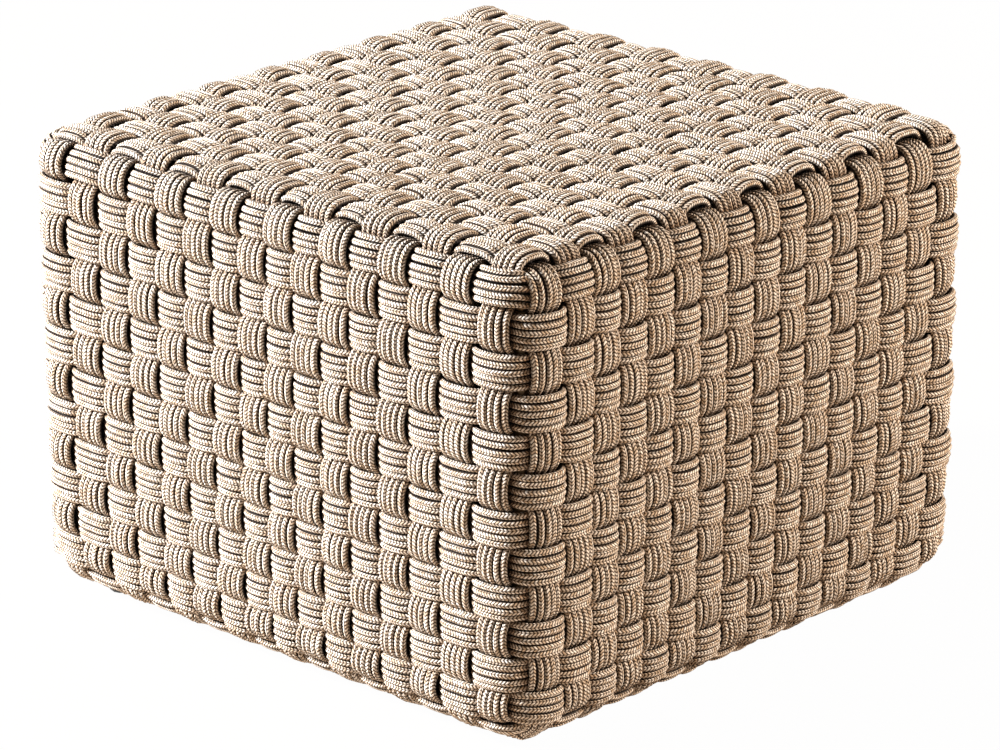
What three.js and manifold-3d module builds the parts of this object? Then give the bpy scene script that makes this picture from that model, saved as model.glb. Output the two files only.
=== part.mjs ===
import * as THREE from 'three';
import { mergeVertices } from 'three/addons/utils/BufferGeometryUtils.js';
import Module from 'manifold-3d';

const wasm = await Module();
wasm.setup();

// Woven bands, in millimetres: each is a row of round braided cords laid side by side
const cordDiameter = 5.7;
const cordsPerBand = 5;
const cordsInEdgeCourse = 3;
const bandGap = 3.5;
const seatCourseGap = 3.4;
const courseTightening = 0.3;
const cordGap = 0.3;
const bandDepthShare = 0.86;
const bandLoft = 1.5;

// Lattice of the weave: columns across each face and courses up each side
const columnCount = 16;
const courseCount = 12;

// Middle surface of the weave, measured from the outermost bands to the flat faces
const cornerReach = 30.1;
const topReach = 17.1;
const bottomReach = 37.3;
const edgeRadius = 20;

// How far a band stands off the middle surface where it turns an edge
const seatEdgeOverLift = 7.2;
const seatEdgeUnderLift = 2;
const cornerLift = 3;
const edgeCourseOverLift = 3.2;
const edgeCourseUnderLift = 4;
const lowerSideLift = 2.6;
const lowerSideHeight = 13;
const underEdgeLift = 2.5;
const underEdgeInset = 14;

// Runs across the underside: the weft lies outside the warp
const warpRunLift = -3.5;
const weftRunLift = 2;

// Welded frame of square aluminium tube
const tubeSize = 25;
const tubeWall = 2;
const tubeChamfer = 3;
const weldGap = 0.3;
const frameInset = 9.8;
const seatHoopDrop = 9.7;
const baseHoopRise = 25;
const crossRailSpacing = 160;

// Plates in the corners of the base hoop, and the glides pinned to them
const plateReach = 34;
const plateThickness = 3;
const plateWeld = 1;
const glideRadius = 11;
const glideHeight = 5;
const glideBevel = 1.2;
const pinStandOut = 3;
const glideSegments = 12;
const glideColumn = 7;

// Sizes that follow from the ones above
const bandWidth = cordDiameter * cordsPerBand;
const bandDepth = cordDiameter * bandDepthShare;
const edgeCourseWidth = cordDiameter * cordsInEdgeCourse;
const edgeCourseDepth = edgeCourseWidth * bandDepth / bandWidth;
const columnPitch = bandWidth + bandGap;
const coursePitch = bandWidth + seatCourseGap;
const courseDrop = (course) => coursePitch * course - courseTightening * course * (course - 1) / 2;
const tightestPitch = coursePitch - courseTightening * (courseCount - 2);
const waveRise = (bandDepth + cordGap) / (2 - bandWidth / tightestPitch) + bandLoft;
const outermost = columnPitch * (columnCount - 1) / 2;
const halfWidth = outermost + cornerReach;
const weftFace = weftRunLift + bandDepth / 2;
const undersideZ = glideHeight + cordGap + weftFace;
const seatZ = undersideZ + bottomReach + courseDrop(courseCount - 1) + topReach;
const arcInset = edgeRadius * (1 - Math.SQRT1_2);
const frameHalf = halfWidth - frameInset;
const tubeLine = frameHalf - tubeSize / 2;
const bore = tubeSize / 2 - tubeWall;
const boreChamfer = tubeChamfer * bore / (tubeSize / 2);
const seatHoopZ = seatZ - seatHoopDrop - tubeSize / 2;
const baseHoopZ = undersideZ + baseHoopRise + tubeSize / 2;
const plateZ = baseHoopZ - tubeSize / 2 + tubeChamfer + plateThickness / 2;
const pinRadius = bandGap / 2 - cordGap;
const glidePlace = glideColumn * columnPitch;

const cordMaterial = new THREE.MeshStandardMaterial({ color: 0xcdbb9f, roughness: 0.85, metalness: 0 });
const frameMaterial = new THREE.MeshStandardMaterial({ color: 0x9a7d5c, roughness: 0.45, metalness: 0.5 });
const glideMaterial = new THREE.MeshStandardMaterial({ color: 0x2c2b2a, roughness: 0.6, metalness: 0 });

const up = new THREE.Vector3(0, 0, 1);
const sides = [
  { along: new THREE.Vector3(1, 0, 0), out: new THREE.Vector3(0, -1, 0) },
  { along: new THREE.Vector3(0, 1, 0), out: new THREE.Vector3(1, 0, 0) },
  { along: new THREE.Vector3(-1, 0, 0), out: new THREE.Vector3(0, 1, 0) },
  { along: new THREE.Vector3(0, -1, 0), out: new THREE.Vector3(-1, 0, 0) },
];

// A vector made of lengths along three directions
function place(...terms) {
  const sum = new THREE.Vector3();
  for (const [direction, length] of terms) sum.addScaledVector(direction, length);
  return sum;
}

function number(index) {
  return String(index + 1).padStart(2, '0');
}

// A closed surface with its faces turned outward
function closedGeometry(points, triangles) {
  let volume = 0;
  for (const [a, b, c] of triangles) {
    volume += points[a].dot(new THREE.Vector3().crossVectors(points[b], points[c]));
  }
  const turned = volume < 0 ? triangles.map(([a, b, c]) => [a, c, b]) : triangles;
  const geometry = new THREE.BufferGeometry();
  const position = new Float32Array(points.flatMap((point) => point.toArray()));
  geometry.setAttribute('position', new THREE.BufferAttribute(position, 3));
  geometry.setIndex(turned.flat());
  geometry.computeVertexNormals();
  return geometry;
}

// A band that closes on itself: a flat outer face and a keel below it at every station
function bandLoop(stations, width, depth) {
  const points = [];
  const triangles = [];
  for (const { point, normal, across, lift } of stations) {
    const face = lift + depth / 2;
    points.push(
      place([point.clone(), 1], [normal, face], [across, width / 2]),
      place([point.clone(), 1], [normal, face], [across, -width / 2]),
      place([point.clone(), 1], [normal, face - depth]),
    );
  }
  for (let ring = 0; ring < stations.length; ring++) {
    const next = (ring + 1) % stations.length;
    for (let corner = 0; corner < 3; corner++) {
      const beside = (corner + 1) % 3;
      const [a, b] = [ring * 3 + corner, ring * 3 + beside];
      const [c, d] = [next * 3 + corner, next * 3 + beside];
      triangles.push([a, c, b], [b, c, d]);
    }
  }
  return closedGeometry(points, triangles);
}

// A course runs round the four sides and turns each corner post once
function courseLoop(height, inset, tilt, width, depth, liftAt, turnLift) {
  const stations = [];
  const lean = (out) => ({
    normal: place([out, Math.cos(tilt)], [up, Math.sin(tilt)]),
    across: place([out, -Math.sin(tilt)], [up, Math.cos(tilt)]),
  });
  sides.forEach(({ along, out }, side) => {
    for (let column = 0; column < columnCount; column++) {
      const travel = columnPitch * column - outermost;
      stations.push({
        point: place([along, travel], [out, halfWidth - inset], [up, height]),
        lift: liftAt(side * columnCount + column),
        ...lean(out),
      });
    }
    const diagonal = place([out, Math.SQRT1_2], [along, Math.SQRT1_2]);
    const centre = place([out, halfWidth - edgeRadius], [along, halfWidth - edgeRadius]);
    stations.push({
      point: place([centre, 1], [diagonal, edgeRadius - inset], [up, height]),
      lift: turnLift,
      ...lean(diagonal),
    });
  });
  return bandLoop(stations, width, depth);
}

// An upright band climbs one side, crosses the seat, goes down the far side and runs back below
function uprightLoop(index, side, runLift) {
  const near = sides[side];
  const far = sides[side + 2];
  const shift = near.along.clone().multiplyScalar(columnPitch * index - outermost);
  const wave = (over) => (over ? waveRise : -waveRise);
  const station = (out, inset, height, tilt, lift) => ({
    point: place([shift, 1], [out, halfWidth - inset], [up, height]),
    normal: place([out, Math.cos(tilt)], [up, Math.sin(tilt)]),
    across: near.along,
    lift,
  });
  const courseHeight = (course) => seatZ - topReach - courseDrop(course);
  const climb = (out, parity) => {
    const overEdgeCourse = (courseCount + index) % 2 === parity;
    const half = [
      station(out, cornerReach, undersideZ, -Math.PI / 2, runLift),
      station(out, underEdgeInset, undersideZ, -Math.PI / 2, underEdgeLift),
      station(out, arcInset, undersideZ + arcInset, -Math.PI / 4,
        overEdgeCourse ? edgeCourseOverLift : -waveRise),
      station(out, 0, undersideZ + lowerSideHeight, 0, lowerSideLift),
    ];
    for (let course = courseCount - 1; course >= 0; course--) {
      half.push(station(out, 0, courseHeight(course), 0, wave((course + index) % 2 === parity)));
    }
    half.push(station(out, arcInset, seatZ - arcInset, Math.PI / 4,
      index % 2 === parity ? seatEdgeOverLift : seatEdgeUnderLift));
    return half;
  };
  const seat = [];
  for (let row = 0; row < columnCount; row++) {
    const inset = cornerReach + columnPitch * row;
    seat.push(station(near.out, inset, seatZ, Math.PI / 2, wave((index + row) % 2 === 1)));
  }
  const stations = [...climb(near.out, 0), ...seat, ...climb(far.out, 1).reverse()];
  return bandLoop(stations, bandWidth, bandDepth);
}

// Outline of a square section with its corners cut off
function sectionOutline(reach, cut) {
  const flat = reach - cut;
  return [
    [reach, flat],
    [flat, reach],
    [-flat, reach],
    [-reach, flat],
    [-reach, -flat],
    [-flat, -reach],
    [flat, -reach],
    [reach, -flat],
  ];
}

// Square tube along a path, with mitred corners and open ends cut to the given planes
function squareTube(path, cuts) {
  const points = [];
  const triangles = [];
  const outline = [...sectionOutline(tubeSize / 2, tubeChamfer), ...sectionOutline(bore, boreChamfer)];
  const inside = outline.length / 2;
  const rings = path.map((point, index) => {
    const before = path[index - 1];
    const after = path[index + 1];
    const travel = (after ? after.clone().sub(point) : point.clone().sub(before)).normalize();
    const upright = Math.abs(travel.z) > Math.SQRT1_2;
    const aside = upright ? sides[0].along : new THREE.Vector3().crossVectors(travel, up).normalize();
    const rise = new THREE.Vector3().crossVectors(aside, travel).normalize();
    return { point, travel, aside, rise, cut: cuts[index] };
  });
  for (const { point, travel, aside, rise, cut } of rings) {
    for (const [across, over] of outline) {
      const corner = place([point, 1], [aside, across], [rise, over]);
      const slide = point.clone().sub(corner).dot(cut) / travel.dot(cut);
      points.push(corner.addScaledVector(travel, slide));
    }
  }
  const quad = (a, b, c, d) => triangles.push([a, b, c], [a, c, d]);
  for (let ring = 0; ring + 1 < rings.length; ring++) {
    for (let corner = 0; corner < inside; corner++) {
      const beside = (corner + 1) % inside;
      const here = ring * outline.length;
      const next = here + outline.length;
      quad(here + corner, here + beside, next + beside, next + corner);
      quad(here + inside + beside, here + inside + corner, next + inside + corner, next + inside + beside);
    }
  }
  const last = (rings.length - 1) * outline.length;
  for (let corner = 0; corner < inside; corner++) {
    const beside = (corner + 1) % inside;
    quad(corner, corner + inside, beside + inside, beside);
    quad(last + beside, last + beside + inside, last + corner + inside, last + corner);
  }
  return closedGeometry(points, triangles);
}

// Half of a square hoop: one length of tube bent round the corner between two sides
function hoopHalf(first, height) {
  const one = sides[first];
  const two = sides[first + 1];
  const end = weldGap / 2;
  const start = place([one.out, tubeLine], [one.along, end - tubeLine], [up, height]);
  const bend = place([one.out, tubeLine], [one.along, tubeLine], [up, height]);
  const finish = place([two.out, tubeLine], [two.along, tubeLine - end], [up, height]);
  const mitre = place([one.along, 1], [one.out, -1]).normalize();
  const cross = place([one.along, 1], [one.out, 1]).normalize();
  return squareTube([start, bend, finish], [cross, mitre, cross]);
}

function toSolid(geometry) {
  const bare = new THREE.BufferGeometry();
  bare.setAttribute('position', geometry.getAttribute('position').clone());
  if (geometry.index) bare.setIndex(geometry.index.clone());
  const merged = mergeVertices(bare);
  const vertProperties = new Float32Array(merged.getAttribute('position').array);
  const triVerts = new Uint32Array(merged.index.array);
  return new wasm.Manifold(new wasm.Mesh({ numProp: 3, vertProperties, triVerts }));
}

function toGeometry(solid) {
  const mesh = solid.getMesh();
  const geometry = new THREE.BufferGeometry();
  geometry.setAttribute('position', new THREE.BufferAttribute(mesh.vertProperties, 3));
  geometry.setIndex([...mesh.triVerts]);
  geometry.computeVertexNormals();
  return geometry;
}

// Corner plate, welded to one side of the hoop, with a hole for the glide's pin
function cornerPlate(hoop, first, along, out) {
  const inner = frameHalf - tubeSize;
  const plate = new THREE.BoxGeometry(1, 1, plateThickness);
  const size = plateReach;
  plate.scale(size, size, 1);
  const middle = inner - size / 2 - weldGap;
  const weld = place([sides[first].out, plateWeld]);
  const spot = place([along, middle], [out, middle], [up, plateZ]);
  plate.translate(...spot.add(weld).toArray());
  const hole = new THREE.CylinderGeometry(
    pinRadius + weldGap, pinRadius + weldGap, plateThickness * 2, glideSegments);
  hole.rotateX(Math.PI / 2);
  hole.translate(...place([along, glidePlace], [out, glidePlace], [up, spot.z]).toArray());
  return hoop.add(toSolid(plate)).subtract(toSolid(hole));
}

function baseHoopHalf(first) {
  const one = sides[first];
  let half = toSolid(hoopHalf(first, baseHoopZ));
  half = cornerPlate(half, first, one.along, one.out);
  half = cornerPlate(half, first, one.along.clone().negate(), one.out);
  return toGeometry(half);
}

// Glide: a bevelled disc under the weave with a pin up through the plate
function glide() {
  const pinTop = plateZ + plateThickness / 2 + pinStandOut;
  const profile = [
    [0, 0],
    [glideRadius - glideBevel, 0],
    [glideRadius, glideBevel],
    [glideRadius, glideHeight],
    [pinRadius, glideHeight],
    [pinRadius, pinTop],
    [0, pinTop],
  ].map(([radius, height]) => new THREE.Vector2(radius, height));
  const geometry = new THREE.LatheGeometry(profile, glideSegments);
  geometry.rotateX(Math.PI / 2);
  return geometry;
}

const group = new THREE.Group();

function addPiece(name, geometry, material) {
  const mesh = new THREE.Mesh(geometry, material);
  mesh.name = name;
  group.add(mesh);
  return mesh;
}

for (let course = 0; course < courseCount; course++) {
  const height = seatZ - topReach - courseDrop(course);
  const liftAt = (crossing) => ((course + crossing) % 2 === 1 ? waveRise : -waveRise);
  const loop = courseLoop(height, 0, 0, bandWidth, bandDepth, liftAt, cornerLift);
  addPiece(`side_course_${number(course)}`, loop, cordMaterial);
}

const edgeLiftAt = (crossing) => (
  (courseCount + crossing) % 2 === 1 ? edgeCourseOverLift : -edgeCourseUnderLift);
addPiece('edge_course', courseLoop(undersideZ + arcInset, arcInset, -Math.PI / 4,
  edgeCourseWidth, edgeCourseDepth, edgeLiftAt, edgeCourseOverLift), cordMaterial);

for (let column = 0; column < columnCount; column++) {
  addPiece(`warp_band_${number(column)}`, uprightLoop(column, 0, warpRunLift), cordMaterial);
  addPiece(`weft_band_${number(column)}`, uprightLoop(column, 1, weftRunLift), cordMaterial);
}

addPiece('seat_hoop_half_1', hoopHalf(0, seatHoopZ), frameMaterial);
addPiece('seat_hoop_half_2', hoopHalf(2, seatHoopZ), frameMaterial);
addPiece('base_hoop_half_1', baseHoopHalf(0), frameMaterial);
addPiece('base_hoop_half_2', baseHoopHalf(2), frameMaterial);

// Posts stand between the two hoops, one at each corner
const postBottom = baseHoopZ + tubeSize / 2 + weldGap;
const postTop = seatHoopZ - tubeSize / 2 - weldGap;
sides.forEach(({ along, out }, side) => {
  const foot = place([along, tubeLine], [out, tubeLine], [up, postBottom]);
  const head = place([along, tubeLine], [out, tubeLine], [up, postTop]);
  addPiece(`corner_post_${side + 1}`, squareTube([foot, head], [up, up]), frameMaterial);
});

// Cross rails carry the woven seat between two sides of the seat hoop
const railReach = frameHalf - tubeSize - weldGap;
[-1, 1].forEach((hand, index) => {
  const travel = sides[1].along;
  const shift = place([sides[1].out, hand * crossRailSpacing / 2], [up, seatHoopZ]);
  const ends = [-railReach, railReach].map((reach) => place([shift, 1], [travel, reach]));
  addPiece(`seat_cross_rail_${index + 1}`, squareTube(ends, [travel, travel]), frameMaterial);
});

sides.forEach(({ along, out }, side) => {
  const mesh = addPiece(`foot_glide_${side + 1}`, glide(), glideMaterial);
  mesh.position.copy(place([along, glidePlace], [out, glidePlace]));
});

export default group;
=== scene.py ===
import math
import bpy
import numpy as np
from mathutils import Matrix, Vector


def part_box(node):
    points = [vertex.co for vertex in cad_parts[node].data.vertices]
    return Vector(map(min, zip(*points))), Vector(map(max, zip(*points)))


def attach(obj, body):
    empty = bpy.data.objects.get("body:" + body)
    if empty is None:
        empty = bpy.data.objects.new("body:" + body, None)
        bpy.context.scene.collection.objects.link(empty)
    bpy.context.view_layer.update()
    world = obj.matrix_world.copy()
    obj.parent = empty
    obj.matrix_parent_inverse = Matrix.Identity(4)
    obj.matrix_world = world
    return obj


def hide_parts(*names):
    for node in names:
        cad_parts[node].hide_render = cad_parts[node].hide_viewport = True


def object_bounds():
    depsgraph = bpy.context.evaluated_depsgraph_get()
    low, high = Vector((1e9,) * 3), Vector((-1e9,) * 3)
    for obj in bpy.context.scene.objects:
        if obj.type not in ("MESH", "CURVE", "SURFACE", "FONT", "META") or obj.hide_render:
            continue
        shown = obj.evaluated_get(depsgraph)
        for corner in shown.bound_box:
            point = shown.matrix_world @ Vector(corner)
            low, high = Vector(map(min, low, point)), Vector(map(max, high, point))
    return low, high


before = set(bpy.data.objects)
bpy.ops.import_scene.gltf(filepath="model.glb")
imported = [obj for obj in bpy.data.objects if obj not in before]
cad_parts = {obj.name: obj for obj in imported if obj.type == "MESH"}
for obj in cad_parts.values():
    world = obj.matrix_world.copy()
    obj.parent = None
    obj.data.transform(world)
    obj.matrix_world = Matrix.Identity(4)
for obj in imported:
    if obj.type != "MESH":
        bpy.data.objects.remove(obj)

cadLow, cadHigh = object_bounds()
mm = 0.001
tolerance = 1e-6             # against rounding

# The rounded block that the rope is woven on, and the rope itself, in millimetres
weave = {
    "cord": 5.8,             # thickness of one braided cord
    "bandCords": 5,          # cords that lie side by side in a band
    "edgeCords": 3,          # cords that show of the band at the lower edge
    "columns": 16,
    "courses": 12,
    "columnPitch": {"warp": 32.2, "weft": 31.6},
    "outerColumn": {"warp": 2.5, "weft": 5.5},     # the first and last column stand off a little further
    "columnBow": {"warp": 0.4, "weft": -5.0},      # hand-set columns: those in the middle lie to one side
    "columnPinch": {"warp": -7.0, "weft": 1.3},    # and those halfway out lie further out, or in if below 0
    "columnSlip": 0.45,      # spread of the columns' own small slips
    "coursePitch": 33.2,     # between the two highest courses
    "tightening": 0.43,      # each pitch is this much less than the one above it
    "courseSlip": 0.35,      # spread of the courses' own small slips
    "half": 269.5,           # middle of the weave, from the centre line
    "seatDepth": 9.2,        # from the top of the highest tile down to the middle of the weave
    "underside": 15.2,       # height of the weave's middle under the stool
    "postRadius": 32.0,      # of the rounding at the upright corners
    "seatRadius": 24.0,      # round the seat
    "seatShoulder": 27.0,    # over which the outermost bands on the seat lean down
    "footRadius": 22.0,      # round the foot
    "firstCourse": 24.6,     # below the top
    "edgeTurn": 50.0,        # where the edge course lies, in degrees round the lower edge
    "edgeSwing": 0.45,       # share of the other courses' swing that it has
    "courseTilt": (5.0, 7.0),    # the courses run uphill to one corner and downhill to the opposite one
    "tiltPower": (3, 0.8),   # the higher, the later each of the two sets in
    "courseSag": 3.0,        # and they hang a little on the way up
    "rise": 6.3,             # how far a band swings out and in
    "reach": 32.0,           # length over which it swings
    "sharpness": 1.5,        # the higher, the flatter a tile and the steeper its ends
    "loose": 0.14,           # share of the rise by which the warp swings further and the weft less far
    "settle": 0.28,          # a cord n places from a tile's middle lies lower by n squared times this
    "crown": 2.0,            # bulge of the sides
    "uprightPitch": 5.45,    # from cord to cord in a warp or weft band
    "press": 0.05,           # the cords of a course press together by this, and more between close courses
    "courseGap": 0.4,        # the least between two courses
    "spread": 0.02,          # share by which the cords of a band lie further apart over a crossing
    "slipBeside": 0.28,      # spread of a cord's small slips from one crossing to the next
    "slipOut": 0.22,
    "step": 4.0,             # from ring to ring along a cord
    "facets": 8,             # sides of a ring
}
half = weave["half"]
seat = cadHigh.z / mm - weave["seatDepth"]
under = weave["underside"]
middle = (seat + under) / 2
postRadius, seatRadius, footRadius = weave["postRadius"], weave["seatRadius"], weave["footRadius"]
seatFlat, footFlat, postFlat = half - seatRadius, half - footRadius, half - postRadius
sideTop, sideFoot = seat - seatRadius, under + footRadius
dice = np.random.default_rng(7)


def columnPlaces(kind):
    place = weave["columnPitch"][kind] * (np.arange(weave["columns"]) - (weave["columns"] - 1) / 2)
    place[0] -= weave["outerColumn"][kind]
    place[-1] += weave["outerColumn"][kind]
    bow = weave["columnBow"][kind] * np.cos(place / half * math.pi / 2)
    pinch = weave["columnPinch"][kind] * np.sin(place / half * math.pi)
    return place + bow + pinch + dice.normal(0, weave["columnSlip"], len(place))


def coursePlaces():
    # measured over the surface, so the first and last lie part way round an edge
    down = cadHigh.z / mm - weave["firstCourse"] - sideTop
    first = sideTop + seatRadius * math.asin(down / seatRadius)
    count = np.arange(weave["courses"])
    place = first - weave["coursePitch"] * count + weave["tightening"] * count * (count - 1) / 2
    edge = sideFoot - footRadius * math.radians(weave["edgeTurn"])
    return np.append(place + dice.normal(0, weave["courseSlip"], len(place)), edge)


warpPlaces = columnPlaces("warp")
weftPlaces = columnPlaces("weft")
courses = coursePlaces()
print("columns and courses set out")


class Loop:
    # a rounded rectangle: four corners, each with a centre and a radius, and four outward sides
    def __init__(self, centres, radii, outward):
        self.centres = [np.array(c, float) for c in centres]
        self.radii = radii
        self.outward = [np.array(o, float) for o in outward]
        self.starts, self.ends, mark = [], [], 0.0
        for side in range(4):
            a, b = self.flat(side)
            self.starts.append(mark)
            self.ends.append(mark + float(np.linalg.norm(b - a)))
            mark = self.ends[-1] + self.radii[side] * math.pi / 2
        self.length = mark

    def flat(self, side):
        # both ends of a side's straight stretch
        return (self.centres[side - 1] + self.radii[side - 1] * self.outward[side],
                self.centres[side] + self.radii[side] * self.outward[side])

    def at(self, travel):
        travel = np.mod(travel, self.length)
        point, facing = np.zeros((len(travel), 2)), np.zeros((len(travel), 2))
        for side in range(4):
            out, ahead = self.outward[side], self.outward[(side + 1) % 4]
            a, b = self.flat(side)
            straight = (travel >= self.starts[side]) & (travel < self.ends[side])
            span = self.ends[side] - self.starts[side]
            share = ((travel[straight] - self.starts[side]) / span)[:, None]
            point[straight], facing[straight] = a + (b - a) * share, out
            limit = self.ends[side] + self.radii[side] * math.pi / 2 + tolerance
            bend = (travel >= self.ends[side]) & (travel < limit)
            angle = ((travel[bend] - self.ends[side]) / self.radii[side])[:, None]
            facing[bend] = out * np.cos(angle) + ahead * np.sin(angle)
            point[bend] = self.centres[side] + self.radii[side] * facing[bend]
        return point, facing


uprightLoop = Loop([(-seatFlat, sideTop), (seatFlat, sideTop), (footFlat, sideFoot), (-footFlat, sideFoot)],
                   [seatRadius, seatRadius, footRadius, footRadius],
                   [(-1, 0), (0, 1), (1, 0), (0, -1)])
courseLoop = Loop([(postFlat, -postFlat), (postFlat, postFlat),
                   (-postFlat, postFlat), (-postFlat, -postFlat)],
                  [postRadius] * 4,
                  [(0, -1), (1, 0), (0, 1), (-1, 0)])


def wrap(place, offset, lift, low, high, lowRadius, highRadius):
    # a band's place is measured over the block, and its cords keep their spacing at the band's own height;
    # back come a cord's level, how far it drops behind the flat side, and how far it leans
    head, foot = highRadius + lift, lowRadius + lift
    place = (np.clip(place, low, high) + np.clip(place - high, 0, None) * head / highRadius
             - np.clip(low - place, 0, None) * foot / lowRadius + offset)
    above, below = np.clip(place - high, 0, None) / head, np.clip(low - place, 0, None) / foot
    level = np.clip(place, low, high) + head * np.sin(above) - foot * np.sin(below)
    drop = head * (1 - np.cos(above)) + foot * (1 - np.cos(below))
    return level, drop, above - below


def bulge(along, level):
    height = (level - middle) / (seat - middle)
    return weave["crown"] * np.clip(1 - (along / half) ** 2, 0, 1) * np.clip(1 - height ** 2, 0, 1)


def towardsCorner(x, y):
    # 1 at the corner on the camera's right, -1 at the one on its left and 0 at the other two
    return (x + y) / (2 * half)


def courseShift(x, y):
    up, down = np.clip(-towardsCorner(x, y), 0, 1), np.clip(towardsCorner(x, y), 0, 1)
    rise, fall = weave["courseTilt"]
    late, early = weave["tiltPower"]
    return rise * up ** late - fall * down ** early - weave["courseSag"] * np.sin(math.pi * up)


def onUpright(travel, place, offset, lift):
    point, facing = uprightLoop.at(travel)
    level, sideDrop, sideLean = wrap(place, offset, lift, -postFlat, postFlat, postRadius, postRadius)
    shoulder = weave["seatShoulder"]
    _, topDrop, topLean = wrap(place, offset, lift, shoulder - half, half - shoulder, shoulder, shoulder)
    onTop = facing[:, 1] ** 2
    drop = sideDrop * (1 - onTop) + topDrop * onTop
    lean = sideLean * (1 - onTop) + topLean * onTop
    stand = lift - drop + bulge(level, point[:, 1]) * (1 - onTop)
    point = point + facing * stand[:, None]
    normal = np.column_stack([np.sin(lean), facing * np.cos(lean)[:, None]])
    return np.column_stack([level, point]), normal


def onCourse(travel, place, offset, lift):
    point, facing = courseLoop.at(travel)
    place = place + courseShift(point[:, 0], point[:, 1])
    level, drop, lean = wrap(place, offset, lift, sideFoot, sideTop, footRadius, seatRadius)
    stand = lift - drop + bulge(np.min(np.abs(point), axis=1), level)
    point = point + facing * stand[:, None]
    normal = np.column_stack([facing * np.cos(lean)[:, None], np.sin(lean)])
    return np.column_stack([point, level]), normal


# The tubes under the weave: the square hoops, the posts and the two rails across the seat, in millimetres
tubes = {
    "corner": 3.0,           # radius of a tube's long edges
    "clearance": 0.05,       # between a tube and a cord that rests on it
    "moves": 6,              # a cord is moved off a tube in this many moves at most
    "longestMove": 2,
}
tubeHalf = (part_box("corner_post_1")[1].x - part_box("corner_post_1")[0].x) / mm / 2
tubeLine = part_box("corner_post_2")[1].x / mm - tubeHalf
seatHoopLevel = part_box("seat_hoop_half_1")[1].z / mm - tubeHalf
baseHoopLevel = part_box("base_hoop_half_1")[1].z / mm - tubeHalf
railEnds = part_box("seat_cross_rail_1")
railAlong = 0 if railEnds[1].x - railEnds[0].x > railEnds[1].y - railEnds[0].y else 1
railLine = abs(railEnds[0][1 - railAlong] + railEnds[1][1 - railAlong]) / mm / 2
railLevel = railEnds[1].z / mm - tubeHalf


def tubeGap(across, over):
    # distance from the skin of a square tube that has rounded corners
    a = np.abs(across) - (tubeHalf - tubes["corner"])
    b = np.abs(over) - (tubeHalf - tubes["corner"])
    outside = np.hypot(np.clip(a, 0, None), np.clip(b, 0, None))
    return outside + np.minimum(np.maximum(a, b), 0) - tubes["corner"]


def frameGap(point):
    # distance from the nearest hoop, post or rail
    x, y, z = np.abs(point[:, 0]), np.abs(point[:, 1]), point[:, 2]
    ring = np.maximum(x, y) - tubeLine
    hoops = np.minimum(tubeGap(ring, z - seatHoopLevel), tubeGap(ring, z - baseHoopLevel))
    betweenHoops = (z > baseHoopLevel) & (z < seatHoopLevel)
    post = np.where(betweenHoops, tubeGap(x - tubeLine, y - tubeLine), np.inf)
    beside = np.abs(point[:, 1 - railAlong]) - railLine
    rail = np.where(np.abs(point[:, railAlong]) < tubeLine, tubeGap(beside, z - railLevel), np.inf)
    return np.minimum(np.minimum(hoops, post), rail)


def restOnTubes(point, normal):
    # a cord that would cut into a tube is moved out until it lies on it
    point = point.copy()
    for move in range(tubes["moves"]):
        short = weave["cord"] / 2 + tubes["clearance"] - frameGap(point)
        point += normal * np.clip(short, 0, tubes["longestMove"])[:, None]
    return point


# How the soft weave gives way at its corners, in millimetres; left and right are as the camera sees them
give = {
    "footReach": 140,        # how far up from the foot it gives
    "topReach": 60,          # and how far down from the seat
    "topDrop": 1.2,          # the left and right corners are lower at the top,
    "dropStart": 0.74,       # from this share of the way out to them
    "dropRun": 0.2,          # and fully after this share more
    "cornerPower": 4,        # the higher, the closer to its corner the side gives
    "rightIn": 5.0,          # the right corner is drawn in at the foot
    "leftIn": 4.0,           # the left one leans in from the seat to the foot,
    "leftOut": 3.0,          # stands out above the foot
    "leftTuck": 6.0,         # and is tucked in at the foot,
    "leftLift": 1.6,         # where the edge rises to it
    "bluntIn": 2.5,          # all four corners are drawn in at the foot
    "bluntLift": 4.0,        # and lifted,
    "bluntPart": 5,          # in the last one of so many parts of the way out
}


def fading(distance, reach):
    return np.clip(1 - distance / reach, 0, 1)


def roundCorners(point):
    point = point.copy()
    out = towardsCorner(point[:, 0], point[:, 1])
    right, left = np.clip(out, 0, 1), np.clip(-out, 0, 1)
    low = fading(point[:, 2] - under, give["footReach"]) ** 2
    top = fading(seat - point[:, 2], give["topReach"])
    dropped = np.clip((np.abs(out) - give["dropStart"]) / give["dropRun"], 0, 1)
    point[:, 2] -= give["topDrop"] * dropped ** 2 * top
    point[:, :2] -= (give["rightIn"] * right ** give["cornerPower"] * low)[:, None]
    point[:, :2] += (give["leftIn"] * left * (1 - point[:, 2] / seat))[:, None]
    belly = left ** give["cornerPower"] * (give["leftOut"] - give["leftTuck"] * low ** 2)
    point[:, :2] -= belly[:, None]
    point[:, 2] += give["leftLift"] * left * low
    share = np.abs(point[:, :2]).min(axis=1) / half
    blunt = np.clip(share * give["bluntPart"] - (give["bluntPart"] - 1), 0, 1) ** 2 * low ** 2
    point[:, :2] -= give["bluntIn"] * np.sign(point[:, :2]) * blunt[:, None]
    point[:, 2] += give["bluntLift"] * blunt
    return point


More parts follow.
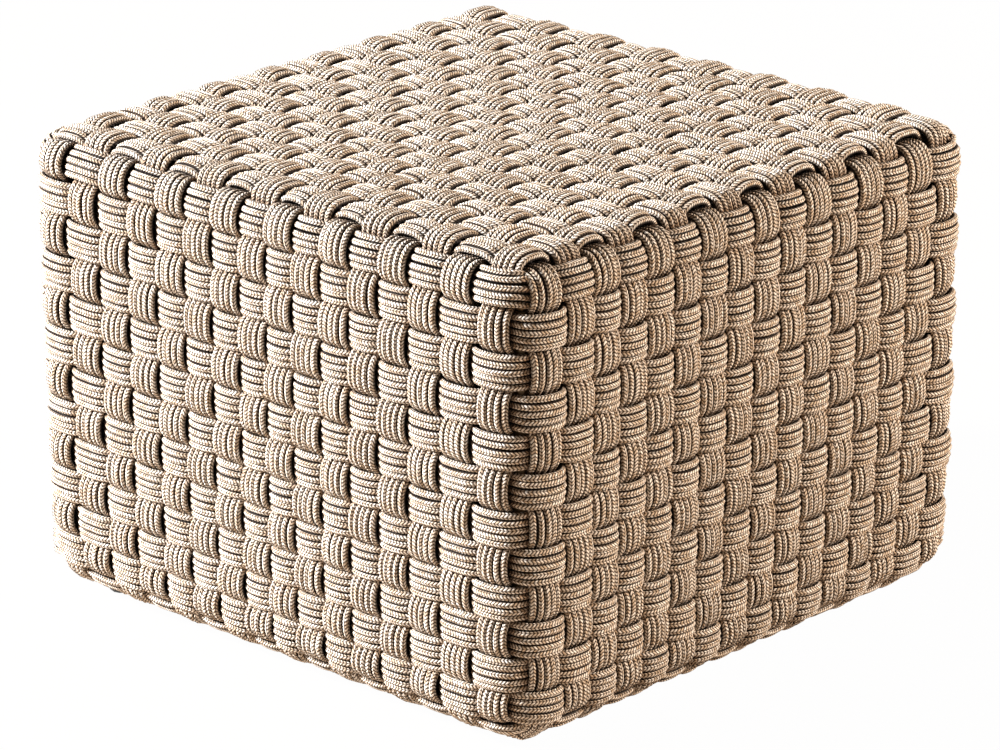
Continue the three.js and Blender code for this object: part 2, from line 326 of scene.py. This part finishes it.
def swing(travel, length, crossings, over, strength):
    # a band's height, from 1 over a crossing to -1 under it, as it is and with each crossing's strength,
    # the number of the crossing behind and the share of the way to the next
    order = np.argsort(crossings)
    crossings, over, strength = crossings[order], over[order], strength[order]
    travel = np.mod(travel, length)
    after = np.searchsorted(crossings, travel, side="right") % len(crossings)
    before = after - 1
    gap = np.mod(crossings[after] - crossings[before], length)
    gone = np.mod(travel - crossings[before], length)
    fromUnder = np.where(over[before], gap - gone, gone)
    share = np.clip(fromUnder / np.minimum(gap, weave["reach"]), 0, 1)
    steep = weave["sharpness"]
    height = np.tanh(steep * np.cos(math.pi * (1 - share))) / math.tanh(steep)
    calm = strength[before] * (1 - gone / gap) + strength[after] * gone / gap
    return height, height * calm, before, gone / gap


class Graph:
    # small helper to lay out shader nodes
    def __init__(self, owner, shader="Principled BSDF"):
        owner.use_nodes = True
        self.nodes, self.links = owner.node_tree.nodes, owner.node_tree.links
        self.shader = self.nodes[shader]

    def fill(self, node, inputs):
        # another node's output is joined, a plain value is set
        for socket, value in dict(inputs).items():
            if isinstance(value, bpy.types.NodeSocket):
                self.links.new(value, node.inputs[socket])
            else:
                node.inputs[socket].default_value = value

    def put(self, kind, inputs=(), **settings):
        node = self.nodes.new(kind)
        for key, value in settings.items():
            setattr(node, key, value)
        self.fill(node, inputs)
        return node

    def sum(self, operation, *values):
        return self.put("ShaderNodeMath", dict(enumerate(values)), operation=operation).outputs[0]

    def blend(self, share, first, second, kind="MIX"):
        inputs = {0: share, 6: first, 7: second}
        return self.put("ShaderNodeMix", inputs, data_type="RGBA", blend_type=kind).outputs[2]

    def ramp(self, value, span, kind="LINEAR"):
        inputs = {0: value, 1: span[0], 2: span[1]}
        return self.put("ShaderNodeMapRange", inputs, interpolation_type=kind).outputs[0]

    def noise(self, place, scale, detail):
        return self.put("ShaderNodeTexNoise", {"Vector": place, "Scale": scale, "Detail": detail}).outputs[0]

    def onObject(self):
        return self.put("ShaderNodeTexCoord").outputs["Object"]

    def pair(self, name):
        # both values of a map
        place = self.put("ShaderNodeUVMap", uv_map=name).outputs[0]
        return self.put("ShaderNodeSeparateXYZ", {0: place}).outputs[:2]

    def relief(self, height, depth, strength=1.0):
        inputs = {"Strength": strength, "Distance": depth * mm, "Height": height}
        return self.put("ShaderNodeBump", inputs).outputs[0]


# Braided cord: its strands, its yarns' colours, and the shade painted into its grooves, between the cords
# and under a band
braid = {
    "lay": 2.7,              # length of one strand's lay in millimetres
    "cordsApart": 1000,      # lays between the counts of a band's cords, so that their tones differ
    "legs": 3.0,             # chevrons round the cord
    "slant": 0.85,           # lays that a leg climbs
    "plump": 0.6,            # the lower, the rounder the back of a strand
    "seamDepth": 0.55,       # share of the height that is lost where two legs meet
    "seamPower": 4.0,        # the higher, the narrower that seam
    "relief": 0.8,           # depth of the braid in millimetres
    "strands": 4.0,          # round the cord, each with its own tone
    "strandShare": 0.55,     # how much of the tone that is; the rest drifts along the cord
    "driftScale": 1.3,
    "driftStretch": 0.05,
    "toneSpan": (0.25, 0.75),        # from cream to sand
    "cream": (0.93, 0.885, 0.825, 1),
    "sand": (0.56, 0.435, 0.315, 1),
    "fleckScale": 900.0,     # sand-coloured flecks in the yarn
    "fleckLevel": 0.62,
    "fleckShare": 0.9,
    "detail": 2.0,
    # painted shade in the braid's grooves, where the strands dip between each other
    "grooveShade": (0.04, 0.018, 0.007, 1),
    "grooveShadeSpan": (0.42, 0.95),      # height of the braid, from painted groove shade to yarn
    "shade": (0.42, 0.26, 0.135, 1),     # where a band starts to dive under its neighbour
    "shadeShare": 0.75,
    "shadeSpan": (-0.35, 0.85),      # height of the band, from shaded to clear
    "hollowShade": (0.012, 0.005, 0.002, 1),  # painted shade, deep in the weave and between cords
    "hollowShadeSpan": (-0.85, 0.2),      # height of the band, from painted shade to clear
    "exposedSpan": (0.34, 0.72),     # how far a side of the cord faces out, from painted shade to clear
    "openShare": 0.5,        # share by which the open side of an outermost cord faces out more, so it gets less painted shade
    "seatShade": 0.06,       # share by which the cords on the seat face out less, so more shade is painted between them
    "roughness": 0.86,
    "sheen": 0.06,
    "sheenRoughness": 0.5,
    "gloss": 0.12,
}


def braidHeight(g, along, around):
    # strands that climb and fall in chevrons, as a count of lays, and the height of their backs
    halfLeg = 0.5
    zigzag = g.sum("PINGPONG", g.sum("MULTIPLY", around, braid["legs"]), halfLeg)
    lay = g.sum("ADD", along, g.sum("MULTIPLY", zigzag, braid["slant"] / halfLeg))
    arch = g.sum("SINE", g.sum("MULTIPLY", g.sum("FRACT", lay), math.pi))
    seam = g.sum("ABSOLUTE", g.sum("SUBTRACT", g.sum("MULTIPLY", zigzag, 2 / halfLeg), 1.0))
    seamArch = g.sum("SUBTRACT", 1.0, g.sum("POWER", seam, braid["seamPower"]))
    full = g.sum("ADD", 1 - braid["seamDepth"], g.sum("MULTIPLY", seamArch, braid["seamDepth"]))
    return lay, g.sum("MULTIPLY", g.sum("POWER", arch, braid["plump"]), full)


def yarnColour(g, along, around, lay):
    turn = g.sum("FLOOR", g.sum("MULTIPLY", around, braid["strands"]))
    strand = g.put("ShaderNodeCombineXYZ", {0: g.sum("FLOOR", lay), 1: turn}).outputs[0]
    own = g.put("ShaderNodeTexWhiteNoise", {0: strand}, noise_dimensions="2D").outputs[0]
    stretched = g.sum("MULTIPLY", along, braid["driftStretch"])
    place = g.put("ShaderNodeCombineXYZ", {0: stretched, 1: around}).outputs[0]
    drift = g.noise(place, braid["driftScale"], braid["detail"])
    tone = g.sum("ADD", g.sum("MULTIPLY", own, braid["strandShare"]),
                 g.sum("MULTIPLY", drift, 1 - braid["strandShare"]))
    yarn = g.blend(g.ramp(tone, braid["toneSpan"]), braid["cream"], braid["sand"])
    fleck = g.noise(g.onObject(), braid["fleckScale"], braid["detail"])
    fleck = g.sum("MULTIPLY", g.sum("SUBTRACT", braid["fleckLevel"], fleck), braid["fleckShare"])
    return g.blend(fleck, yarn, braid["sand"])


def makeRopeMaterial():
    material = bpy.data.materials.new("braidedRope")
    g = Graph(material)
    along, around = g.pair("cord")
    lay, height = braidHeight(g, along, around)
    # the low parts of the braid are painted dark as shade
    colour = g.blend(g.ramp(height, braid["grooveShadeSpan"]), braid["grooveShade"], yarnColour(g, along, around, lay))
    # how far out the band swings here, and which way this side of the cord faces
    swung, facing = g.pair("lie")
    dive = g.sum("SUBTRACT", 1.0, g.ramp(swung, braid["shadeSpan"], "SMOOTHSTEP"))
    shaded = g.blend(g.sum("MULTIPLY", dive, braid["shadeShare"]), colour, braid["shade"], "MULTIPLY")
    # painted shade: dark deep in the weave and on the sides of cords that face each other
    clear = g.sum("MULTIPLY", g.ramp(swung, braid["hollowShadeSpan"], "SMOOTHSTEP"),
                  g.ramp(facing, braid["exposedSpan"], "SMOOTHSTEP"))
    g.fill(g.shader, {
        "Base Color": g.blend(clear, braid["hollowShade"], shaded),
        "Normal": g.relief(height, braid["relief"]),
        "Roughness": braid["roughness"],
        "Sheen Weight": braid["sheen"],
        "Sheen Roughness": braid["sheenRoughness"],
        "Specular IOR Level": braid["gloss"],
    })
    return material


ropeMaterial = makeRopeMaterial()
print("rope braided")

facets = weave["facets"]
aroundCord = np.arange(facets) / facets * 2 * math.pi


def cordRings(centre, normal):
    # rings square to the cord, and the two directions that they are drawn in: out of the weave and beside it
    ahead = np.roll(centre, -1, axis=0) - np.roll(centre, 1, axis=0)
    ahead /= np.linalg.norm(ahead, axis=1)[:, None]
    normal = normal - ahead * np.sum(normal * ahead, axis=1)[:, None]
    normal /= np.linalg.norm(normal, axis=1)[:, None]
    beside = np.cross(ahead, normal)
    ring = (np.cos(aroundCord)[None, :, None] * normal[:, None, :]
            + np.sin(aroundCord)[None, :, None] * beside[:, None, :])
    return (centre[:, None, :] + weave["cord"] / 2 * ring).reshape(-1, 3), normal, beside


def cordFaces(rings):
    # the last ring joins the first, so the cord is a closed tube
    i, j = np.arange(rings)[:, None], np.arange(facets)[None, :]
    nextRing, nextSide = (i + 1) % rings, (j + 1) % facets
    quads = np.stack([i * facets + j, i * facets + nextSide,
                      nextRing * facets + nextSide, nextRing * facets + j], axis=-1)
    return quads.reshape(-1, 4)


def cordMap(centre, number):
    # along the cord a whole number of lays, and once round it from a random turn
    span = np.linalg.norm(np.roll(centre, -1, axis=0) - centre, axis=1)
    reach = np.concatenate([[0], np.cumsum(span)])
    reach = reach / reach[-1] * round(reach[-1] / braid["lay"]) + braid["cordsApart"] * number
    u = np.stack([reach[:-1], reach[:-1], reach[1:], reach[1:]], axis=-1)[:, None, :]
    j = np.arange(facets)[None, :]
    v = np.stack([j, j + 1, j + 1, j], axis=-1) / facets
    return np.stack(np.broadcast_arrays(u, v + dice.random()), axis=-1).reshape(-1, 2)


def cordFacing(normal, beside, toNeighbour):
    # 1 where a cord faces out of the weave and -1 where it faces in, to steer the painted shade between
    # cords; only an outermost cord has toNeighbour
    facing = np.cos(aroundCord)
    if toNeighbour is not None:
        inward = np.sign(np.mean(np.sum(toNeighbour * beside, axis=1)))
        more = braid["openShare"] + (1 - braid["openShare"]) * facing
        facing = np.where(np.sin(aroundCord) * inward < -tolerance, more, facing)
    return facing[None, :] - braid["seatShade"] * np.clip(normal[:, 2:], 0, 1) ** 2


def newPiece(name, points, corners, maps):
    mesh = bpy.data.meshes.new(name)
    mesh.vertices.add(len(points))
    mesh.vertices.foreach_set("co", points.ravel())
    mesh.loops.add(corners.size)
    mesh.loops.foreach_set("vertex_index", corners.ravel().astype(np.int32))
    mesh.polygons.add(len(corners))
    mesh.polygons.foreach_set("loop_start", np.arange(len(corners), dtype=np.int32) * 4)
    mesh.polygons.foreach_set("use_smooth", np.ones(len(corners), bool))
    mesh.update(calc_edges=True)
    for layer, places in maps.items():
        mesh.uv_layers.new(name=layer).data.foreach_set("uv", places.ravel())
    mesh.validate()
    piece = bpy.data.objects.new(name, mesh)
    bpy.context.scene.collection.objects.link(piece)
    return piece


def bandPiece(name, cords):
    # every cord is a closed tube with two maps: "cord" for the braid, "lie" for its height and facing, which
    # steer the painted shade
    points, corners, braidMaps, lies = [], [], [], []
    base = 0
    for number, (centre, normal, height) in enumerate(cords):
        # the cord beside an outermost one, and none for those between
        neighbour = {0: 1, len(cords) - 1: -2}.get(number)
        toNeighbour = None if neighbour is None else cords[neighbour][0] - centre
        rings, normal, beside = cordRings(centre, normal)
        faces = cordFaces(len(centre))
        facing = cordFacing(normal, beside, toNeighbour)
        lie = np.stack([np.broadcast_to(height[:, None], facing.shape), facing], axis=-1).reshape(-1, 2)
        points.append(rings)
        corners.append(faces + base)
        braidMaps.append(cordMap(centre, number))
        lies.append(lie[faces.ravel()])
        base += len(rings)
    return newPiece(name, np.concatenate(points) * mm, np.concatenate(corners),
                    {"cord": np.concatenate(braidMaps), "lie": np.concatenate(lies)})


def asLaid(p):
    # the warp runs up the two sides that face along y, and the weft, turned from it, up the two along x
    return p


def quarterTurn(p):
    return np.column_stack([-p[:, 1], p[:, 0], p[:, 2]])


# For each kind of band: the loop that it follows, the surface that it lies on, and how that is turned
bandKinds = {
    "warp": (uprightLoop, onUpright, asLaid),
    "weft": (uprightLoop, onUpright, quarterTurn),
    "course": (courseLoop, onCourse, asLaid),
}


def looseness(kind, normal):
    # the warp bulges more than the weft, and a course bulges less over the warp and more over the weft
    if kind == "course":
        return 1 + weave["loose"] * (normal[:, 0] ** 2 - normal[:, 1] ** 2) / np.sum(normal ** 2, axis=1)
    return 1 + weave["loose"] * (1 if kind == "warp" else -1)


def weaveBand(name, node, kind, place, meetings, cordCount, pitch):
    # one band: its cords run side by side and follow the same swing with small slips
    loop, surface, turned = bandKinds[kind]
    crossings, over, strength = meetings
    rings = int(round(loop.length / weave["step"]))
    travel = (np.arange(rings) + 0.5) * loop.length / rings
    height, swung, before, share = swing(travel, loop.length, crossings, over, strength)
    nearNext = (1 - np.cos(share * math.pi)) / 2
    cords = []
    for number in range(cordCount):
        offset = number - (cordCount - 1) / 2
        slip = dice.normal(0, 1, (2, len(crossings)))
        slip = slip[:, before] * (1 - nearNext) + slip[:, (before + 1) % len(crossings)] * nearNext
        across = offset * pitch * (1 + weave["spread"] * height) + weave["slipBeside"] * slip[0]
        facing = turned(surface(travel, place, across, 0 * travel)[1])
        lift = (weave["rise"] * looseness(kind, facing) * swung + weave["slipOut"] * slip[1]
                - weave["settle"] * offset ** 2 * (height + 1) / 2)
        point, normal = (turned(p) for p in surface(travel, place, across, lift))
        cords.append((restOnTubes(roundCorners(point), normal), normal, height))
    piece = bandPiece(name, cords)
    piece.data.materials.append(ropeMaterial)
    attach(piece, "root")
    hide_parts(node)


def uprightMeetings(kind, index):
    # up one side, over the seat, down the other side and back underneath
    others = weftPlaces if kind == "warp" else -warpPlaces[::-1]
    count, rows = weave["columns"], weave["courses"] + 1
    across, reach = (warpPlaces[index], -half) if kind == "warp" else (weftPlaces[index], half)
    near = uprightLoop.starts[0] + courses + courseShift(across, reach) - sideFoot
    overSeat = uprightLoop.starts[1] + others + seatFlat
    far = uprightLoop.starts[2] + sideTop - courses - courseShift(across, -reach)
    below = uprightLoop.starts[3] + footFlat - others
    row, column = np.arange(rows), np.arange(count)
    over = [(row + index) % 2 == 0, (index + column) % 2 == 1,
            (row + index) % 2 == 1, (index + column) % 2 == 1]
    places = np.concatenate([near, overSeat, far, below])
    side = np.where(row == rows - 1, weave["edgeSwing"], 1.0)
    strength = np.concatenate([side, np.ones(count), side, np.ones(count)])
    return np.mod(places, uprightLoop.length), np.concatenate(over), strength


def courseMeetings(row):
    # round the four sides
    count = weave["columns"]
    sides = [warpPlaces, weftPlaces, -warpPlaces[::-1], -weftPlaces[::-1]]
    places = np.concatenate([courseLoop.starts[i] + sides[i] + postFlat for i in range(4)])
    strength = np.full(4 * count, weave["edgeSwing"] if row == weave["courses"] else 1.0)
    return np.mod(places, courseLoop.length), (row + np.arange(4 * count)) % 2 == 1, strength


def cordPitch(row):
    # from cord to cord in a course: less than a cord's thickness where the courses stand close
    gaps = np.abs(np.diff(courses[:-1]))
    room = gaps[np.clip([row - 1, row], 0, len(gaps) - 1)].min()
    return min(weave["cord"] - weave["press"], (room - weave["courseGap"]) / weave["bandCords"])


for index in range(weave["columns"]):
    for kind, places in (("warp", warpPlaces), ("weft", weftPlaces)):
        weaveBand(f"{kind}Cords{index + 1:02d}", f"{kind}_band_{index + 1:02d}", kind, places[index],
                  uprightMeetings(kind, index), weave["bandCords"], weave["uprightPitch"])
print("warp and weft woven")

for row in range(weave["courses"]):
    weaveBand(f"courseCords{row + 1:02d}", f"side_course_{row + 1:02d}", "course", courses[row],
              courseMeetings(row), weave["bandCords"], cordPitch(row))
lastRow = weave["courses"]
weaveBand("edgeCords", "edge_course", "course", courses[lastRow],
          courseMeetings(lastRow), weave["edgeCords"], cordPitch(lastRow))
print("courses woven")

# Powder-coated tube: bronze tan with a fine orange-peel skin
tube = {
    "colour": (0.36, 0.225, 0.115, 1),
    "deep": (0.29, 0.175, 0.085, 1),
    "cloudScale": 14.0,
    "cloudDetail": 3.0,
    "smoothest": 0.33,       # roughness
    "roughest": 0.46,
    "metallic": 0.35,
    "skin": 0.05,            # depth of the orange peel in millimetres
    "skinStrength": 0.5,
    "skinScale": 1100.0,
    "skinDetail": 1.0,
}


def makeTubeMaterial():
    material = bpy.data.materials.new("powderCoat")
    g = Graph(material)
    place = g.onObject()
    cloud = g.noise(place, tube["cloudScale"], tube["cloudDetail"])
    peel = g.noise(place, tube["skinScale"], tube["skinDetail"])
    rough = g.put("ShaderNodeMapRange", {0: cloud, 3: tube["smoothest"], 4: tube["roughest"]}).outputs[0]
    g.fill(g.shader, {
        "Base Color": g.blend(cloud, tube["colour"], tube["deep"]),
        "Normal": g.relief(peel, tube["skin"], tube["skinStrength"]),
        "Roughness": rough,
        "Metallic": tube["metallic"],
    })
    return material


# Moulded glides: black plastic, scuffed a little
glide = {
    "colour": (0.022, 0.021, 0.02, 1),
    "scuff": (0.06, 0.057, 0.053, 1),
    "scuffSpan": (0.52, 0.72),
    "roughness": 0.5,
    "grain": 0.08,           # depth of the moulded grain in millimetres
    "grainStrength": 0.4,
    "grainScale": 420.0,
    "grainDetail": 4.0,
}


def makeGlideMaterial():
    material = bpy.data.materials.new("mouldedGlide")
    g = Graph(material)
    grain = g.noise(g.onObject(), glide["grainScale"], glide["grainDetail"])
    g.fill(g.shader, {
        "Base Color": g.blend(g.ramp(grain, glide["scuffSpan"]), glide["colour"], glide["scuff"]),
        "Normal": g.relief(grain, glide["grain"], glide["grainStrength"]),
        "Roughness": glide["roughness"],
    })
    return material


def finishNodes(starts, material):
    for name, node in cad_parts.items():
        if name.startswith(starts):
            node.data.materials.clear()
            node.data.materials.append(material)


finishNodes(("seat_hoop", "base_hoop", "corner_post", "seat_cross_rail"), makeTubeMaterial())
finishNodes("foot_glide", makeGlideMaterial())
print("frame and glides finished")

# Studio: a pale floor, a key from the left and a weak warm fill from the right, in metres
white = (1, 1, 1, 1)
studio = {
    "floorSize": 40.0,
    "floorColour": (0.46, 0.365, 0.28, 1),
    "floorRoughness": 0.9,
    "whiteShare": 0.985,     # how much of the floor's look is plain white, to the camera
    "sky": 0.05,             # strength of the world on the stool; to the camera it is white
    "skyColour": (1.0, 0.76, 0.54, 1),
    "aim": (0, 0, 0.2),      # where both lamps point
    "key": {"from": (-2.9, -2.5, 1.95), "size": 0.6, "power": 895, "colour": (1.0, 1.0, 1.0)},
    "fill": {"from": (2.6, 2.2, 1.55), "size": 0.5, "power": 252, "colour": (1.0, 0.84, 0.69)},
}


def seenWhite(g):
    # 1 for what the camera sees directly, in a mirror or through glass
    ray = g.put("ShaderNodeLightPath").outputs
    seen = g.sum("ADD", ray["Is Camera Ray"], ray["Is Glossy Ray"])
    inputs = {0: seen, 1: ray["Is Transmission Ray"]}
    return g.put("ShaderNodeMath", inputs, operation="ADD", use_clamp=True).outputs[0]


def makeFloor():
    bpy.ops.object.select_all(action="DESELECT")
    bpy.ops.mesh.primitive_plane_add(size=studio["floorSize"], location=(0, 0, 0))
    floor = bpy.context.object
    floor.name = "studioFloor"
    material = bpy.data.materials.new("studioFloor")
    g = Graph(material)
    g.fill(g.shader, {"Base Color": studio["floorColour"], "Roughness": studio["floorRoughness"]})
    plain = g.put("ShaderNodeEmission", {"Color": white, "Strength": 1.0}).outputs[0]
    share = g.sum("MULTIPLY", seenWhite(g), studio["whiteShare"])
    mix = g.put("ShaderNodeMixShader", {0: share, 1: g.shader.outputs[0], 2: plain}).outputs[0]
    g.fill(g.nodes["Material Output"], {"Surface": mix})
    floor.data.materials.append(material)


def makeWorld():
    world = bpy.data.worlds.new("studio")
    bpy.context.scene.world = world
    g = Graph(world, "Background")
    seen = seenWhite(g)
    strength = g.put("ShaderNodeMapRange", {0: seen, 3: studio["sky"], 4: 1.0}).outputs[0]
    g.fill(g.shader, {"Color": g.blend(seen, studio["skyColour"], white), "Strength": strength})


def makeLamp(name):
    data = bpy.data.lights.new(name, "AREA")
    data.size = studio[name]["size"]
    data.energy = studio[name]["power"]
    data.color = studio[name]["colour"]
    lamp = bpy.data.objects.new(name, data)
    lamp.location = studio[name]["from"]
    lamp.rotation_mode = "QUATERNION"
    lamp.rotation_quaternion = (Vector(studio["aim"]) - lamp.location).to_track_quat("-Z", "Y")
    bpy.context.scene.collection.objects.link(lamp)


makeFloor()
makeWorld()
for name in ("key", "fill"):
    makeLamp(name)

# Camera: a long lens from above, facing a corner; its place in metres, its angles in degrees
view = {
    "place": (2.8143, -3.0632, 1.6362),
    "heading": 132.588,
    "pitch": -19.214,
    "roll": 0.229,
    "lens": 191.24,
    "sensor": 36,
}


def makeCamera():
    data = bpy.data.cameras.new("camera")
    data.lens, data.sensor_width = view["lens"], view["sensor"]
    camera = bpy.data.objects.new("camera", data)
    bpy.context.scene.collection.objects.link(camera)
    heading, pitch, roll = (math.radians(view[k]) for k in ("heading", "pitch", "roll"))
    flat = math.cos(pitch)
    ahead = Vector((flat * math.cos(heading), flat * math.sin(heading), math.sin(pitch)))
    right = Vector((math.sin(heading), -math.cos(heading), 0))
    up = right.cross(ahead)
    right, up = math.cos(roll) * right + math.sin(roll) * up, math.cos(roll) * up - math.sin(roll) * right
    turned = Matrix((right, up, -ahead)).transposed().to_4x4()
    camera.matrix_world = Matrix.Translation(view["place"]) @ turned
    bpy.context.scene.camera = camera


makeCamera()
bpy.context.scene.view_settings.view_transform = "Standard"
print("studio and camera set")
